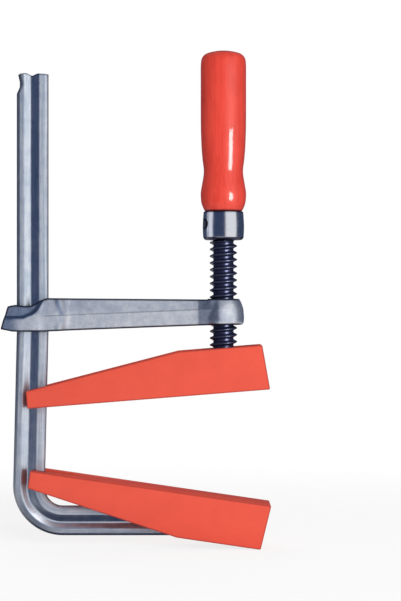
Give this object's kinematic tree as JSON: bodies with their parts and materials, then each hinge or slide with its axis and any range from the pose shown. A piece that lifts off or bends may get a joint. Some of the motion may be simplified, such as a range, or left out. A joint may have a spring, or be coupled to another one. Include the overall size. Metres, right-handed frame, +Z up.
{
  "type": "wedge jaw screw clamp",
  "caption": "Steel screw clamp with a bent profiled rail, a sliding forged arm, a spindle with a turned red handle, and swivelling forked wedge jaws for work that is not parallel.",
  "frame": {"origin": "on the spindle's axis, on the clamping face of the lower jaw", "axes": "+X from the rail towards the spindle, +Y towards the back of the clamp, square to its plane of symmetry, +Z up the rail and the spindle"},
  "size_m": [0.1569, 0.031, 0.2903],
  "materials": {
    "rail_steel": "rolled and galvanised steel, worn along its edges",
    "forged_steel": "drop forged steel, blasted and galvanised",
    "spindle_steel": "blackened and oiled rolled thread",
    "ferrule_steel": "turned and browned steel",
    "pin_steel": "hardened dark steel",
    "washer_steel": "bright stamped steel",
    "handle_lacquer": "turned hardwood in red gloss lacquer",
    "jaw_paint": "cast metal in matt red paint"
  },
  "bodies": {
    "rail": {"rail": "rail_steel", "lower_swivel_block": "forged_steel", "lower_pivot_pin": "pin_steel"},
    "arm": {"sliding_arm": "forged_steel", "friction_pin_upper": "pin_steel", "friction_pin_lower": "pin_steel"},
    "foot": {"upper_swivel_block": "forged_steel", "thrust_washer": "washer_steel", "nose_pin_left": "pin_steel", "nose_pin_right": "pin_steel", "upper_pivot_pin": "pin_steel"},
    "spindle": {"spindle": "spindle_steel", "ferrule": "ferrule_steel", "ferrule_pin": "pin_steel", "handle": "handle_lacquer"},
    "upper_jaw": {"upper_jaw": "jaw_paint", "upper_friction_washer_front": "washer_steel", "upper_friction_washer_back": "washer_steel"},
    "lower_jaw": {"lower_jaw": "jaw_paint", "lower_friction_washer_front": "washer_steel", "lower_friction_washer_back": "washer_steel"}
  },
  "joints": [
    {"name": "arm_slide", "type": "slide", "parent": "rail", "child": "arm", "axis": [0, 0, 1], "range_m": [-0.004, 0.118]},
    {"name": "spindle_feed", "type": "slide", "parent": "arm", "child": "foot", "axis": [0, 0, 1], "range_m": [-0.0201, 0.0061]},
    {"name": "spindle_turn", "type": "hinge", "parent": "foot", "child": "spindle", "pos_m": [0, 0, 0.14], "axis": [0, 0, 1], "range_deg": [-1800, 540]},
    {"name": "upper_jaw_tilt", "type": "hinge", "parent": "foot", "child": "upper_jaw", "pos_m": [0, 0, 0.07474], "axis": [0, -1, 0], "range_deg": [-13.56, 4.44]},
    {"name": "lower_jaw_tilt", "type": "hinge", "parent": "rail", "child": "lower_jaw", "pos_m": [0, 0, -0.01364], "axis": [0, 1, 0], "range_deg": [-8.26, 0.74]}
  ],
  "couplings": [
    {"joint": "spindle_feed", "follows": "spindle_turn", "m_per_rad": 0.00063662}
  ]
}
